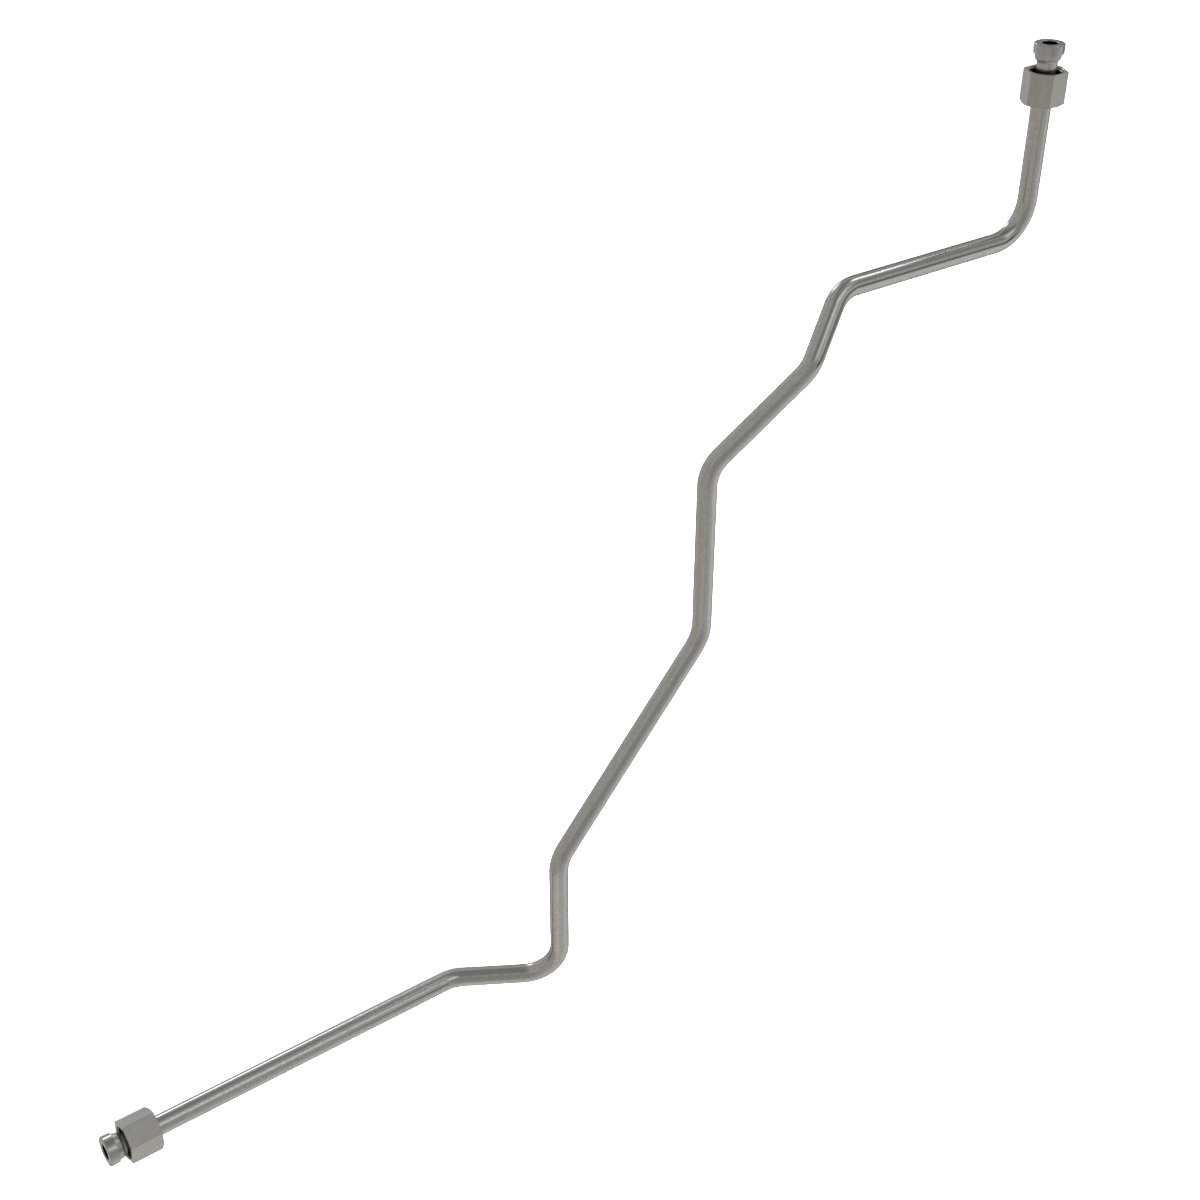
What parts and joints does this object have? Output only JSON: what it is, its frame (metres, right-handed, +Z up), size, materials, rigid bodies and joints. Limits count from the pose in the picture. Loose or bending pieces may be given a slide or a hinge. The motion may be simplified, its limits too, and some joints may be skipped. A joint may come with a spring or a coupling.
{
  "type": "bent tube assembly",
  "caption": "Bent stainless steel tube with a flat-faced nipple brazed on each end and a loose hexagon union nut behind it, for joining threaded ports along a fixed route.",
  "frame": {"origin": "on the floor under the middle of the assembly's box, as it lies at rest", "axes": "+X along the line from the long leg's end face to the short leg's, +Z up from the floor"},
  "size_m": [0.7017, 0.1622, 0.0384],
  "materials": {
    "drawn_tube": "satin stainless steel, drawn lengthwise",
    "turned_nipple": "stainless steel, turned",
    "milled_nut": "stainless steel, drawn hexagon bar with turned ends"
  },
  "bodies": {
    "brazed_tube": {"tube": "drawn_tube", "long_leg_nipple": "turned_nipple", "short_leg_nipple": "turned_nipple"},
    "long_leg_nut": {"long_leg_nut": "milled_nut"},
    "short_leg_nut": {"short_leg_nut": "milled_nut"}
  },
  "joints": [
    {"name": "long_leg_nut_turn", "type": "hinge", "parent": "brazed_tube", "child": "long_leg_nut", "pos_m": [-0.33919, 0.06964, 0.00995], "axis": [-0.7472, 0.664, 0.0275], "continuous": true},
    {"name": "short_leg_nut_turn", "type": "hinge", "parent": "brazed_tube", "child": "short_leg_nut", "pos_m": [0.3373, 0.06575, 0.00951], "axis": [0.6164, 0.7861, -0.0453], "continuous": true}
  ]
}
